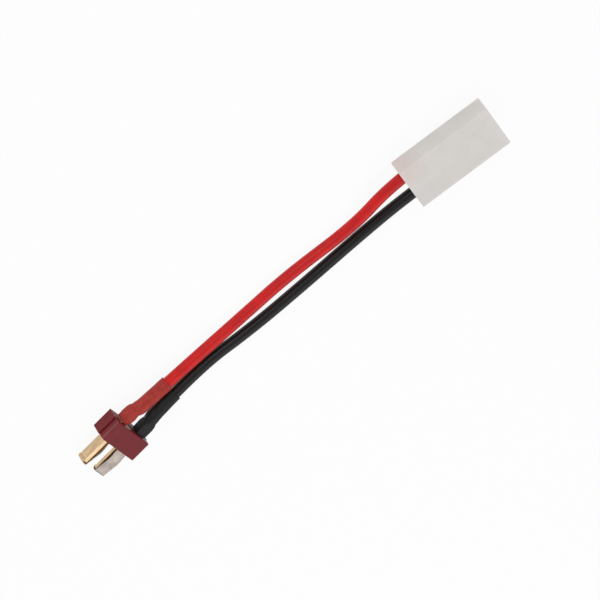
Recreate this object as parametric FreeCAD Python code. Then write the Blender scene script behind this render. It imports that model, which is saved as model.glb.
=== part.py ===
import FreeCAD, Part
import math
import os

from FreeCAD import Placement, Rotation, Vector

# Battery adapter cable. A two-pole plug with two flat blades at right angles, two silicone leads
# soldered to it under shrink sleeves, and a two-way receptacle housing with a crimped pin in each
# of its two cavities. The cable lies flat: +X runs from the housing to the plug, +Z is up, and the
# origin is on the table under the middle of the part. All sizes are in millimetres.

# Where the two ends lie
PLUG_BACK_X = 65.3
PLUG_BACK_Y = 5.9
PLUG_TURN = 10.5
HOUSING_END_X = -49.9
HOUSING_Y = -6.6

# Plug body
BODY_DEPTH = 7.5
BODY_WIDTH = 15.6
BODY_HEIGHT = 7.9
BODY_EDGE = 0.35
BODY_CHAMFER = 0.21
STEP_HEIGHT = 4.8
STEP_INSET = 0.4
GATE_RADIUS = 0.9
GATE_DEPTH = 0.5

# Blades: a flat bar each, with a narrower solder tab behind the body
POSITIVE_Y = -4.3
NEGATIVE_Y = 3.65
BLADE_WIDTH = 4.0
BLADE_THICKNESS = 1.45
BLADE_REACH = 10.1
BLADE_CORNER = 0.5
TAB_WIDTH = 3.0
TAB_LENGTH = 4.7
TAB_CORNER = 0.6
SHOULDER_DEPTH = 1.6

# Spring leaves: a strip hooked over each blade's tip that bows away from the blade
LEAF_THICKNESS = 0.3
LEAF_GAP = 0.15
LEAF_RETURN = 0.05
LEAF_NOSE = 0.97
LEAF_NOSE_RADIUS = 0.4
LEAF_RAMP = 13.5
LEAF_CREST = 6.05
LEAF_CREST_RADIUS = 7.1
LEAF_DROP = 0.95
LEAF_INSIDE = 0.6

# Pockets in the body's front face that the leaves' free ends slide in
POCKET_DEPTH = 1.6
POCKET_CLEARANCE = 0.25

# Leads
WIRE_DIAMETER = 3.85
CORE_DIAMETER = 1.96
STRIP_BACK = 7.2
POSITIVE_OFFSET = (0.0, 1.7)
NEGATIVE_OFFSET = (-0.75, 0.75)
POSITIVE_RESTING = [
    (37.9, 0.35, 2.95),
    (16.6, -1.15, 1.94),
    (-3.0, -3.5, 1.94),
    (-29.0, -3.65, 1.94),
]
NEGATIVE_RESTING = [
    (37.4, 4.25, 2.65),
    (16.0, 4.9, 1.94),
    (-5.5, 3.15, 1.94),
    (-28.8, 0.8, 1.94),
]
ENTRY_RUN = 11.5
ARC_SHARE = 0.45

# Tinned strand ends on the tabs, and the solder under them
STRAND_WIDTH = 2.4
STRAND_HEIGHT = 1.1
STRAND_CORNER = 0.45
STRAND_SETBACK = 0.2
SOLDER_FILM = 0.12
SOLDER_WIDTH = 2.9
SOLDER_SETBACK = 0.15
POSITIVE_STRAND_START = 2.1
NEGATIVE_STRAND_START = 1.0

# Shrink sleeves
SLEEVE_WALL = 0.35
SLEEVE_SLACK = 0.05
SLEEVE_SNUG = 0.03
SLEEVE_ROOM = 0.15
SLEEVE_CORNER = 0.85
SLEEVE_START = 0.15
SLEEVE_RISE = 1.6
POSITIVE_SLEEVE_LENGTH = 18.4
NEGATIVE_SLEEVE_LENGTH = 17.2
SLEEVE_SHOULDER = 4.8

# Receptacle housing
HOUSING_LENGTH = 33.8
HOUSING_WIDTH = 16.6
HOUSING_HEIGHT = 7.3
HOUSING_EDGE = 0.4
POLE_PITCH = 7.3
CAVITY_WIDTH = 5.9
CAVITY_HEIGHT = 5.7
CAVITY_DEPTH = 16.5
CAVITY_CORNER = 0.3
WALL_THICKNESS = 2.0
PIN_BORE = 1.45
TANG_SLOT_REACH = 2.85
TANG_SLOT_WIDTH = 1.9
TANG_SLOT_LENGTH = 4.6
REAR_BORE_RADIUS = 2.5
CATCH_HEIGHT = 1.4
CATCH_WIDTH = 4.4
CATCH_RAMP = 3.0
CATCH_LAND = 0.8
CATCH_FROM_MOUTH = 9.0

# Pin terminals, rolled and stamped from one strip each
PIN_RADIUS = 1.15
PIN_ROOT_RADIUS = 1.35
PIN_FROM_MOUTH = 4.8
NOSE_LENGTH = 1.2
NOSE_TIP_RADIUS = 0.5
STRIP_THICKNESS = 0.3
SEAM_WIDTH = 0.16
BARREL_RADIUS = 1.75
BARREL_LENGTH = 4.3
TANG_ROOT = 0.9
TANG_WIDTH = 1.3
TANG_SPREAD = 2.6
TANG_SETBACK = 0.25
CRIMP_LENGTH = 3.4
CRIMP_WALL = 0.36
CRIMP_GAP = 0.7
STRIP_LAP = 0.1
STRIP_OPENING = 35
WING_LENGTH = 2.8
WING_SPLIT = 0.5
WING_LAP = 0.05
CORE_OUT = 0.4

ACROSS = Vector(0, 1, 0)
PLUG_MIDDLE = BODY_HEIGHT / 2
TIP_X = BODY_DEPTH + BLADE_REACH
HOUSING_MOUTH_X = HOUSING_END_X - HOUSING_LENGTH
POLE_Z = CATCH_HEIGHT + HOUSING_HEIGHT / 2
SHOULDER_X = CAVITY_DEPTH + WALL_THICKNESS
CRIMP_X = SHOULDER_X + BARREL_LENGTH + CRIMP_GAP
WING_X = CRIMP_X + CRIMP_LENGTH + CRIMP_GAP
CORE_END_X = WING_X + WING_LAP

PLUG_FRAME = Placement(
    Vector(PLUG_BACK_X, PLUG_BACK_Y, 0), Rotation(Vector(0, 0, 1), PLUG_TURN))
POSITIVE_SEAT = Placement(
    Vector(0, POSITIVE_Y, PLUG_MIDDLE), Rotation(Vector(1, 0, 0), -90))
NEGATIVE_SEAT = Placement(
    Vector(0, NEGATIVE_Y, PLUG_MIDDLE), Rotation())


def box(x, y, z):
    """A box from three (low, high) pairs."""
    return Part.makeBox(x[1] - x[0], y[1] - y[0], z[1] - z[0], Vector(x[0], y[0], z[0]))


def cylinder(radius, start, end, y=0.0, z=0.0):
    """A cylinder along X."""
    return Part.makeCylinder(radius, end - start, Vector(start, y, z), Vector(1, 0, 0))


def face_of(points):
    """A flat face inside a closed run of points."""
    return Part.Face(Part.makePolygon(points + [points[0]]))


def placed(shape, *placements):
    """A copy of a shape, moved by each placement in turn."""
    moved = shape.copy()
    for placement in placements:
        moved.Placement = placement.multiply(moved.Placement)
    return moved


def parallel_edges(shape, direction, test):
    """The straight edges along a direction whose middle passes a test."""
    found = []
    for edge in shape.Edges:
        if edge.Curve.TypeId != "Part::GeomLine":
            continue
        if abs(abs(edge.tangentAt(edge.FirstParameter).dot(direction)) - 1) < 1e-6:
            if test(edge.CenterOfMass):
                found.append(edge)
    return found


def arc_path(points, radii):
    """A wire of straight runs joined by tangent arcs, one radius for each inner point."""
    edges = []
    last = points[0]
    for before, corner, after, radius in zip(points, points[1:], points[2:], radii):
        arrive = (corner - before).normalize()
        leave = (after - corner).normalize()
        half_turn = arrive.getAngle(leave) / 2
        trim = radius * math.tan(half_turn)
        start = corner - arrive * trim
        end = corner + leave * trim
        inward = (leave - arrive).normalize()
        middle = corner + inward * (radius / math.cos(half_turn) - radius)
        if (start - last).Length > 1e-6:
            edges.append(Part.LineSegment(last, start).toShape())
        edges.append(Part.Arc(start, middle, end).toShape())
        last = end
    edges.append(Part.LineSegment(last, points[-1]).toShape())
    return Part.Wire(edges)


def outline(centre, along, across, half_across, half_up, corner):
    """A closed outline square to a direction: a box with sharp or round corners, or a circle."""
    along = Vector(along).normalize()
    side = (across - along * across.dot(along)).normalize()
    up = along.cross(side)
    if not corner:
        return Part.makePolygon([
            centre + side * (x * half_across) + up * (y * half_up)
            for x, y in ((1, 1), (-1, 1), (-1, -1), (1, -1), (1, 1))])
    is_round = corner >= half_across and corner >= half_up
    sweep = 50 if is_round else 90
    arcs = []
    for quarter, (x, y) in enumerate(((1, 1), (-1, 1), (-1, -1), (1, -1))):
        middle = centre + side * (x * (half_across - corner)) + up * (y * (half_up - corner))
        ring = []
        for share in (-0.5, 0, 0.5):
            angle = math.radians(45 + 90 * quarter + sweep * share)
            ring.append(middle + side * (corner * math.cos(angle)) + up * (corner * math.sin(angle)))
        arcs.append(ring)
    edges = []
    for quarter, ring in enumerate(arcs):
        following = arcs[(quarter + 1) % 4]
        edges.append(Part.Arc(*ring).toShape())
        if is_round:
            angle = math.radians(90 + 90 * quarter)
            peak = centre + side * (corner * math.cos(angle)) + up * (corner * math.sin(angle))
            edges.append(Part.Arc(ring[2], peak, following[0]).toShape())
        else:
            edges.append(Part.LineSegment(ring[2], following[0]).toShape())
    return Part.Wire(edges)


# Blades and their spring leaves, each made lying flat with its contact side up, then seated
def blade():
    """A bar with a round nose and soft corners, and its narrower tab."""
    half = BLADE_THICKNESS / 2
    straight_end = TIP_X - half
    profile = Part.Wire([
        Part.LineSegment(Vector(-TAB_LENGTH, 0, half), Vector(straight_end, 0, half)).toShape(),
        Part.Arc(Vector(straight_end, 0, half), Vector(TIP_X, 0, 0),
                 Vector(straight_end, 0, -half)).toShape(),
        Part.LineSegment(Vector(straight_end, 0, -half), Vector(-TAB_LENGTH, 0, -half)).toShape(),
        Part.LineSegment(Vector(-TAB_LENGTH, 0, -half), Vector(-TAB_LENGTH, 0, half)).toShape(),
    ])
    side = Part.Face(profile)
    side.translate(Vector(0, -BLADE_WIDTH / 2, 0))
    bar = side.extrude(Vector(0, BLADE_WIDTH, 0))
    front = box((SHOULDER_DEPTH, TIP_X), (-BLADE_WIDTH / 2, BLADE_WIDTH / 2), (-half, half))
    front = front.makeFillet(BLADE_CORNER, parallel_edges(
        front, Vector(0, 0, 1), lambda middle: middle.x > TIP_X - 0.01))
    tab = box((-TAB_LENGTH, SHOULDER_DEPTH), (-TAB_WIDTH / 2, TAB_WIDTH / 2), (-half, half))
    tab = tab.makeFillet(TAB_CORNER, parallel_edges(
        tab, Vector(0, 0, 1), lambda middle: middle.x < 0.01 - TAB_LENGTH))
    return bar.common(front.fuse(tab)).removeSplitter()


def leaf():
    """A strip hooked over the blade's nose, and how high its free end reaches."""
    half = BLADE_THICKNESS / 2
    offset = LEAF_GAP + LEAF_THICKNESS / 2
    hook = half + offset
    nose = TIP_X + offset
    crest_x = TIP_X - LEAF_CREST
    crest_z = LEAF_NOSE + (nose - crest_x) * math.tan(math.radians(LEAF_RAMP))
    end_x = BODY_DEPTH - LEAF_INSIDE
    points = [
        Vector(nose - hook - LEAF_RETURN, 0, -hook),
        Vector(nose, 0, -hook),
        Vector(nose, 0, LEAF_NOSE),
        Vector(crest_x, 0, crest_z),
        Vector(end_x, 0, crest_z - LEAF_DROP),
    ]
    path = arc_path(points, [hook, LEAF_NOSE_RADIUS, LEAF_CREST_RADIUS])
    start = points[0]
    section = Part.makePolygon([
        start + Vector(0, -BLADE_WIDTH / 2, -LEAF_THICKNESS / 2),
        start + Vector(0, BLADE_WIDTH / 2, -LEAF_THICKNESS / 2),
        start + Vector(0, BLADE_WIDTH / 2, LEAF_THICKNESS / 2),
        start + Vector(0, -BLADE_WIDTH / 2, LEAF_THICKNESS / 2),
        start + Vector(0, -BLADE_WIDTH / 2, -LEAF_THICKNESS / 2),
    ])
    strip = path.makePipeShell([Part.Wire(section)], True, False)
    end_top = strip.common(box((end_x - 1, BODY_DEPTH), (-BLADE_WIDTH, BLADE_WIDTH), (0, nose)))
    return strip, end_top.BoundBox.ZMax


def pocket(leaf_top):
    """The room that a leaf's free end needs in the body's front face."""
    reach = BLADE_WIDTH / 2 + POCKET_CLEARANCE
    return box((BODY_DEPTH - POCKET_DEPTH, BODY_DEPTH + 1), (-reach, reach),
               (BLADE_THICKNESS / 2, leaf_top + POCKET_CLEARANCE))


# Plug body: a moulded block with stepped ends, cut by what it holds
def plug_body(blades, pockets):
    """The block, with a gate mark behind and room for the blades and the leaves' ends."""
    half = BODY_WIDTH / 2
    block = box((0, BODY_DEPTH), (-half, half), (0, BODY_HEIGHT))
    for low, high in ((-half - 1, -half + STEP_INSET), (half - STEP_INSET, half + 1)):
        block = block.cut(box((-1, BODY_DEPTH + 1), (low, high), (STEP_HEIGHT, BODY_HEIGHT + 1)))
    block = block.makeFillet(BODY_EDGE, parallel_edges(
        block, Vector(1, 0, 0), lambda middle: middle.z > BODY_HEIGHT - 0.01 or middle.z < 0.01))
    block = block.makeChamfer(BODY_CHAMFER, parallel_edges(
        block, Vector(0, 1, 0), lambda middle: middle.z > BODY_HEIGHT - 0.01))
    block = block.cut(cylinder(GATE_RADIUS, -1, GATE_DEPTH, 0, PLUG_MIDDLE))
    for tool in blades + pockets:
        block = block.cut(tool)
    return block


# Leads, sleeves and joints, each worked out in its blade's own flat frame where it is soldered
def wire_start(seat, offset):
    """Where a lead's insulation starts behind the plug, in the part's frame."""
    return PLUG_FRAME.multVec(seat.multVec(Vector(-STRIP_BACK, offset[0], offset[1])))


def route(start, resting, pole_y):
    """All the points of a lead, from its strip at the plug to its strip in the terminal."""
    end = Vector(HOUSING_MOUTH_X + CORE_END_X, pole_y, POLE_Z)
    points = [start] + [Vector(*point) for point in resting]
    return points + [end + Vector(ENTRY_RUN, 0, 0), end]


def wire(points, name):
    """A lead as a plain round tube: straight runs and the largest arcs that they allow."""
    radii = []
    for before, corner, after in zip(points, points[1:], points[2:]):
        shorter = min((corner - before).Length, (after - corner).Length)
        turn = (corner - before).getAngle(after - corner)
        radii.append(ARC_SHARE * shorter / math.tan(turn / 2))
    path = arc_path(points, radii)
    heading = points[1] - points[0]
    circle = Part.Wire([Part.Circle(points[0], heading, WIRE_DIAMETER / 2).toShape()])
    tube = path.makePipeShell([circle], True, False)
    expected = math.pi * WIRE_DIAMETER ** 2 / 4 * path.Length
    print("%s length %.1f, volume %.1f of %.1f, radii %s" % (
        name, path.Length, tube.Volume, expected, ", ".join("%.0f" % r for r in radii)))
    return tube


def strand_end(start_x, offset, heading):
    """A lead's bare end: pressed flat on the tab, then round up to the insulation."""
    lift = BLADE_THICKNESS / 2 + SOLDER_FILM + STRAND_HEIGHT / 2
    back = Vector(-1, 0, 0)
    tab_end = TAB_LENGTH - STRAND_SETBACK
    flat = outline(Vector(-tab_end, 0, lift), back, ACROSS, STRAND_WIDTH / 2, STRAND_HEIGHT / 2,
                   STRAND_CORNER)
    join = Vector(-STRIP_BACK, offset[0], offset[1])
    core = CORE_DIAMETER / 2
    to_wire = Part.makeLoft([flat, outline(join, heading, ACROSS, core, core, core)], True, True)
    return Part.Face(flat).extrude(Vector(tab_end - start_x, 0, 0)).fuse(to_wire)


def solder(start_x, strands):
    """The solder between a tab and the strands on it."""
    half = BLADE_THICKNESS / 2
    low = SOLDER_WIDTH / 2
    high = STRAND_WIDTH / 2 + SOLDER_FILM
    top = half + SOLDER_FILM + STRAND_HEIGHT / 2
    front = -start_x - SOLDER_SETBACK
    section = face_of([
        Vector(front, -low, half), Vector(front, low, half),
        Vector(front, high, top), Vector(front, -high, top)])
    return section.extrude(Vector(TAB_CORNER - TAB_LENGTH - front, 0, 0)).cut(strands)


def sleeve(strand_start, start, heading, length):
    """A shrink sleeve: snug at the block, full over the joint, then a tube along the lead."""
    back = Vector(-1, 0, 0)
    snug = SLEEVE_WALL + SLEEVE_SNUG
    room = SLEEVE_WALL + SLEEVE_ROOM
    lift = (SOLDER_FILM + STRAND_HEIGHT) / 2
    half_up = BLADE_THICKNESS / 2
    full = (lift, TAB_WIDTH / 2 + room, half_up + room + lift)
    if strand_start > SLEEVE_RISE:
        first = (0.0, TAB_WIDTH / 2 + snug, half_up + snug)
    else:
        first = (lift, TAB_WIDTH / 2 + snug, half_up + room + lift)
    full_start = max(strand_start - SLEEVE_ROOM, SLEEVE_RISE)
    rings = [(SLEEVE_START,) + first, (full_start,) + full, (SLEEVE_SHOULDER,) + full]
    bore = WIRE_DIAMETER / 2 + SLEEVE_SLACK
    eye = CORE_DIAMETER / 2 + SLEEVE_ROOM
    shells = []
    for inset, corner, neck in ((0.0, SLEEVE_CORNER, bore + SLEEVE_WALL), (SLEEVE_WALL, 0.0, eye)):
        wires = [outline(Vector(-x, 0, up), back, ACROSS, half_across - inset, height - inset, corner)
                 for x, up, half_across, height in rings]
        wires.append(outline(start, heading, ACROSS, neck, neck, neck if corner else 0.0))
        tube = Part.makeCylinder(bore + SLEEVE_WALL - inset,
                                 SLEEVE_START + length - STRIP_BACK, start, heading)
        shells.append(Part.makeLoft(wires, True, True).fuse(tube))
    return shells[0].cut(shells[1])


# Receptacle housing, made with its mouth at X = 0 and its poles in the plane Z = 0
def d_outline(depth):
    """The cavity with one round side, towards the housing's near wall."""
    half_width = CAVITY_WIDTH / 2
    half_height = CAVITY_HEIGHT / 2
    bend = half_height - half_width
    corner = Vector(-depth, bend, 0)
    round_side = Part.Arc(corner + Vector(0, 0, half_height), corner + Vector(0, -half_height, 0),
                          corner + Vector(0, 0, -half_height)).toShape()
    points = [corner + Vector(0, 0, -half_height), Vector(-depth, half_width, -half_height),
              Vector(-depth, half_width, half_height), corner + Vector(0, 0, half_height)]
    flats = [Part.LineSegment(a, b).toShape() for a, b in zip(points, points[1:])]
    return Part.Face(Part.Wire([round_side] + flats))


def cavity(round_side):
    """One pole's mouth cavity, from just outside the mouth to its floor."""
    if round_side:
        shape = d_outline(1).extrude(Vector(CAVITY_DEPTH + 1, 0, 0))
        corners = parallel_edges(shape, Vector(1, 0, 0),
                                 lambda middle: middle.y > CAVITY_WIDTH / 2 - 0.01)
    else:
        shape = box((-1, CAVITY_DEPTH), (-CAVITY_WIDTH / 2, CAVITY_WIDTH / 2),
                    (-CAVITY_HEIGHT / 2, CAVITY_HEIGHT / 2))
        corners = parallel_edges(shape, Vector(1, 0, 0), lambda middle: True)
    return shape.makeFillet(CAVITY_CORNER, corners)


def housing():
    """The two-way box: a cavity, a pin bore and a rear bore for each pole, and the catch."""
    half_width = HOUSING_WIDTH / 2
    half_height = HOUSING_HEIGHT / 2
    block = box((0, HOUSING_LENGTH), (-half_width, half_width), (-half_height, half_height))
    block = block.makeFillet(HOUSING_EDGE, parallel_edges(
        block, Vector(1, 0, 0), lambda middle: True))
    for side in (-1, 1):
        y = side * POLE_PITCH / 2
        pole = cavity(side < 0).fuse([
            cylinder(PIN_BORE, 0, HOUSING_LENGTH),
            cylinder(REAR_BORE_RADIUS, SHOULDER_X, HOUSING_LENGTH + 1),
            box((SHOULDER_X, SHOULDER_X + TANG_SLOT_LENGTH), (-TANG_SLOT_REACH, TANG_SLOT_REACH),
                (-TANG_SLOT_WIDTH / 2, TANG_SLOT_WIDTH / 2)),
        ])
        pole.translate(Vector(0, y, 0))
        block = block.cut(pole)
    land_start = CATCH_FROM_MOUTH + CATCH_RAMP
    ramp = face_of([
        Vector(CATCH_FROM_MOUTH, -CATCH_WIDTH / 2, -half_height),
        Vector(land_start, -CATCH_WIDTH / 2, -half_height - CATCH_HEIGHT),
        Vector(land_start + CATCH_LAND, -CATCH_WIDTH / 2, -half_height - CATCH_HEIGHT),
        Vector(land_start + CATCH_LAND, -CATCH_WIDTH / 2, -half_height)])
    return block.fuse(ramp.extrude(Vector(0, CATCH_WIDTH, 0))).removeSplitter()


# Pin terminal, made with its pin along X in the housing's own frame
def seam(radius, start, end):
    """What is missing along the underside, where the two edges of the rolled strip meet."""
    return box((start, end), (-SEAM_WIDTH / 2, SEAM_WIDTH / 2),
               (-radius - 1, STRIP_THICKNESS - radius))


def tang(side):
    """A lance sprung out of the barrel, which stops the terminal from pulling out."""
    start = SHOULDER_X + TANG_ROOT
    end = SHOULDER_X + TANG_SLOT_LENGTH - TANG_SETBACK
    low = BARREL_RADIUS - STRIP_THICKNESS
    lance = face_of([
        Vector(start, -TANG_WIDTH / 2, low), Vector(start, -TANG_WIDTH / 2, BARREL_RADIUS),
        Vector(end, -TANG_WIDTH / 2, TANG_SPREAD),
        Vector(end, -TANG_WIDTH / 2, TANG_SPREAD - STRIP_THICKNESS)])
    shape = lance.extrude(Vector(0, TANG_WIDTH, 0))
    shape.rotate(Vector(0, 0, 0), Vector(1, 0, 0), 90 * side)
    return shape


def pin_nose():
    """The tapered end that the rolled pin closes down to."""
    base = Vector(PIN_FROM_MOUTH + NOSE_LENGTH, 0, 0)
    return Part.makeCone(PIN_RADIUS, NOSE_TIP_RADIUS, NOSE_LENGTH, base, Vector(-1, 0, 0))


def terminal():
    """Pin, root, barrel with its two tangs, crimp and insulation wings, all of one strip."""
    nose = PIN_FROM_MOUTH + NOSE_LENGTH
    barrel_end = SHOULDER_X + BARREL_LENGTH
    pin = cylinder(PIN_RADIUS, nose, CAVITY_DEPTH).fuse([
        pin_nose(), cylinder(PIN_ROOT_RADIUS, CAVITY_DEPTH, SHOULDER_X)])
    pin = pin.cut(seam(PIN_RADIUS, nose, SHOULDER_X))
    barrel = cylinder(BARREL_RADIUS, SHOULDER_X, barrel_end).cut(
        cylinder(BARREL_RADIUS - STRIP_THICKNESS, SHOULDER_X + STRIP_THICKNESS, barrel_end + 1))
    barrel = barrel.cut(seam(BARREL_RADIUS, SHOULDER_X - 1, barrel_end + 1))
    crimp_end = CRIMP_X + CRIMP_LENGTH
    crimp_radius = CORE_DIAMETER / 2 + CRIMP_WALL
    crimp = hexagon(crimp_radius, CRIMP_X).extrude(Vector(CRIMP_LENGTH, 0, 0)).cut(
        cylinder(CORE_DIAMETER / 2, CRIMP_X - 1, crimp_end + 1))
    wing_radius = WIRE_DIAMETER / 2 + STRIP_THICKNESS
    wings = cylinder(wing_radius, WING_X, WING_X + WING_LENGTH).cut(
        cylinder(WIRE_DIAMETER / 2, WING_X - 1, WING_X + WING_LENGTH + 1))
    wings = wings.cut(box((WING_X - 1, WING_X + WING_LENGTH + 1),
                          (-WING_SPLIT / 2, WING_SPLIT / 2), (0, wing_radius + 1)))
    floor = Part.makeLoft([
        half_ring(BARREL_RADIUS, barrel_end - STRIP_LAP),
        half_ring(crimp_radius, CRIMP_X + STRIP_LAP)], True)
    step = Part.makeLoft([
        half_ring(crimp_radius, crimp_end - STRIP_LAP),
        half_ring(wing_radius, WING_X + WING_LAP)], True)
    tangs = [tang(1), tang(-1)]
    return pin.fuse([barrel, crimp, wings, floor, step] + tangs)


def hexagon(apothem, x):
    """The crimp's pressed outline, with a flat at its top and at its underside."""
    size = apothem / math.cos(math.pi / 6)
    angles = [math.radians(60 * step) for step in range(6)]
    return face_of([Vector(x, size * math.cos(a), size * math.sin(a)) for a in angles])


def half_ring(radius, x):
    """The outline of the strip's lower part where two stretches of it meet."""
    inner = radius - STRIP_THICKNESS
    low = math.radians(STRIP_OPENING)
    edges = []
    ends = []
    for size in (radius, inner):
        left = Vector(x, -size * math.cos(low), -size * math.sin(low))
        right = Vector(x, size * math.cos(low), -size * math.sin(low))
        edges.append(Part.Arc(left, Vector(x, 0, -size), right).toShape())
        ends.append((left, right))
    sides = [Part.LineSegment(ends[0][i], ends[1][i]).toShape() for i in (0, 1)]
    return Part.Wire([edges[0], sides[1], edges[1], sides[0]])


def terminal_core():
    """A lead's bare end inside its crimp."""
    return cylinder(CORE_DIAMETER / 2, CRIMP_X - CORE_OUT, CORE_END_X)


def build():
    """Every node's shape, seated in the part's frame."""
    nodes = {}
    leaf_strip, leaf_top = leaf()
    flat_blade = blade()
    seats = {"positive": POSITIVE_SEAT, "negative": NEGATIVE_SEAT}
    for pole, seat in seats.items():
        nodes[pole + "_blade"] = placed(flat_blade, seat, PLUG_FRAME)
        nodes[pole + "_spring_leaf"] = placed(leaf_strip, seat, PLUG_FRAME)
    body = plug_body([placed(flat_blade, seat) for seat in seats.values()],
                     [placed(pocket(leaf_top), seat) for seat in seats.values()])
    nodes["plug_body"] = placed(body, PLUG_FRAME)

    leads = (
        ("positive", "red", POSITIVE_OFFSET, POSITIVE_RESTING, -1, POSITIVE_STRAND_START,
         POSITIVE_SLEEVE_LENGTH),
        ("negative", "black", NEGATIVE_OFFSET, NEGATIVE_RESTING, 1, NEGATIVE_STRAND_START,
         NEGATIVE_SLEEVE_LENGTH),
    )
    housing_frame = Placement(Vector(HOUSING_MOUTH_X, HOUSING_Y, POLE_Z), Rotation())
    for pole, colour, offset, resting, side, strand_start, sleeve_length in leads:
        seat = seats[pole]
        pole_y = HOUSING_Y + side * POLE_PITCH / 2
        points = route(wire_start(seat, offset), resting, pole_y)
        nodes[colour + "_wire"] = wire(points, colour + " lead")
        to_flat = PLUG_FRAME.multiply(seat).inverse()
        heading = to_flat.Rotation.multVec(points[1] - points[0]).normalize()
        strands = strand_end(strand_start, offset, heading)
        joint = solder(strand_start, strands)
        start = Vector(-STRIP_BACK, offset[0], offset[1])
        cover = sleeve(strand_start, start, heading, sleeve_length)
        nodes[colour + "_heat_shrink"] = placed(cover, seat, PLUG_FRAME)
        nodes[colour + "_strands_at_plug"] = placed(strands, seat, PLUG_FRAME)
        nodes[pole + "_solder_joint"] = placed(joint, seat, PLUG_FRAME)
        to_pole = Placement(Vector(0, side * POLE_PITCH / 2, 0), Rotation())
        nodes[pole + "_terminal"] = placed(terminal(), to_pole, housing_frame)
        nodes[colour + "_strands_in_crimp"] = placed(terminal_core(), to_pole, housing_frame)
    nodes["receptacle_housing"] = placed(housing(), housing_frame)
    return nodes


os.makedirs("parts", exist_ok=True)
for node, shape in build().items():
    shape.exportStep("parts/%s.step" % node)
    print("%-26s %d solid, %.2f mm3, valid %s" % (
        node, len(shape.Solids), shape.Volume, shape.isValid()))
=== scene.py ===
import math

import bmesh
import bpy
from mathutils import Matrix, Vector, noise


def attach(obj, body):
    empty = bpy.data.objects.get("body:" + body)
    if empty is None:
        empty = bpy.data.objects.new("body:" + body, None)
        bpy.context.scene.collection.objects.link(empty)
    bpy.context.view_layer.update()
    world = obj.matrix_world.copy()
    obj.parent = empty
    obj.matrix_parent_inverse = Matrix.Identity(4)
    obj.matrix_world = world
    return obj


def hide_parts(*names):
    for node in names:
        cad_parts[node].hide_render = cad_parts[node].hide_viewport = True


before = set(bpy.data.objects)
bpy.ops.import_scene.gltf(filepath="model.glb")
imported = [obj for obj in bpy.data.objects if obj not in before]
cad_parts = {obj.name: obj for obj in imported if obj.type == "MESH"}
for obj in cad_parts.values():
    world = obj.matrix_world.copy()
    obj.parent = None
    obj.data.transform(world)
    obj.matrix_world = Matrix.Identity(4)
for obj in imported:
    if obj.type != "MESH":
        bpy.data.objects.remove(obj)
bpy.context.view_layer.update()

bl_info = {
    "name": "Battery Adapter Cable",
    "version": (1, 0, 0),
    "blender": (4, 5, 0),
    "location": "3D View > Sidebar > Cable",
    "description": "Dresses the plug, leads and receptacle of a battery adapter cable",
    "category": "Object",
}

MM = 0.001
CABLE = "cable"
LEAF_OF = {"positive": "positive_leaf", "negative": "negative_leaf"}
COLOUR_OF = {"positive": "red", "negative": "black"}

# Where the plug stands, and how each flat contact is seated in it
PLUG_TURN = math.radians(10.5)
PLUG = Matrix.Translation(Vector((65.3, 5.9, 0)) * MM) @ Matrix.Rotation(PLUG_TURN, 4, "Z")
SEATS = {
    "positive": PLUG @ Matrix.Translation(Vector((0, -4.3, 3.95)) * MM)
    @ Matrix.Rotation(math.radians(-90), 4, "X"),
    "negative": PLUG @ Matrix.Translation(Vector((0, 3.65, 3.95)) * MM),
}

# A leaf in its seat, in millimetres: half its blade's thickness, where its bow is highest, how far
# the bow comes down there and over what run on each side, and the share left of the hook's gap
BLADE_HALF = 0.725
LEAF_CREST_X = 11.3
LEAF_EASE = 0.35
EASE_TO_TIP = 6.0
EASE_TO_BLOCK = 4.4
HOOK_GAP_SHARE = 0.55
# Cuts across a leaf, which let it bend: the first one's place, their spacing and their number
LEAF_CUT_X = 7.6
LEAF_CUT_STEP = 0.5
LEAF_CUTS = 20
# Heights over the blade's middle: where a leaf's fold starts to show its plating, over what height,
# and above what its underside, which takes painted shade, lies, which ends at a distance from the
# block
FOLD_TOP = 0.35
FOLD_FADE = 0.5
UNDERSIDE_LOW = 0.3
UNDERSIDE_END_X = 16.2

# The leads' routes, in millimetres, from the strip at the plug to the strip in the terminal
STRIP_BACK = 7.2
STRIP_OFFSET = {"positive": (0.0, 1.7), "negative": (-0.75, 0.75)}
RESTING = {
    "positive": [(37.9, 0.35, 2.95), (16.6, -1.15, 1.94), (-3.0, -3.5, 1.94), (-29.0, -3.65, 1.94)],
    "negative": [(37.4, 4.25, 2.65), (16.0, 4.9, 1.94), (-5.5, 3.15, 1.94), (-28.8, 0.8, 1.94)],
}
TERMINAL_END = {"positive": (-56.45, -10.25, 5.05), "negative": (-56.45, -2.95, 5.05)}
ENTRY_RUN = 11.5

# The sleeves: their start behind the block, their play on the lead, the spacing of their rings, and
# their shape over the tab, one row for each ring: distance behind the block, centre across and up,
# half sizes across and up, and squareness
SLEEVE_START = 0.15
SLEEVE_PLAY = 0.05
SLEEVE_STEP = 1.0
SLEEVE_OVER_TAB = {
    "positive": [
        (SLEEVE_START, 0.0, 0.0, 2.05, 1.20, 6.0), (1.0, 0.0, 0.2, 2.10, 1.5, 6.0),
        (1.9, 0.0, 0.55, 2.14, 1.88, 6.0), (3.3, 0.0, 0.61, 2.14, 1.92, 6.0),
        (4.6, 0.0, 0.64, 2.10, 1.94, 5.0), (5.4, 0.0, 0.98, 2.05, 1.96, 2.9)],
    "negative": [
        (SLEEVE_START, 0.0, 0.61, 2.18, 1.86, 6.5), (1.6, 0.0, 0.61, 2.26, 1.90, 6.5),
        (3.4, -0.04, 0.61, 2.26, 1.92, 6.5), (4.5, -0.10, 0.62, 2.20, 1.94, 5.0),
        (5.6, -0.34, 0.67, 2.12, 2.04, 2.8)],
}

# The bare strands: where they start on each tab, and their line's height on it
STRANDS_START = {"positive": 2.1, "negative": 1.0}
STRANDS_UP = 1.395
STRAND_PACKING = 0.98

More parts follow.
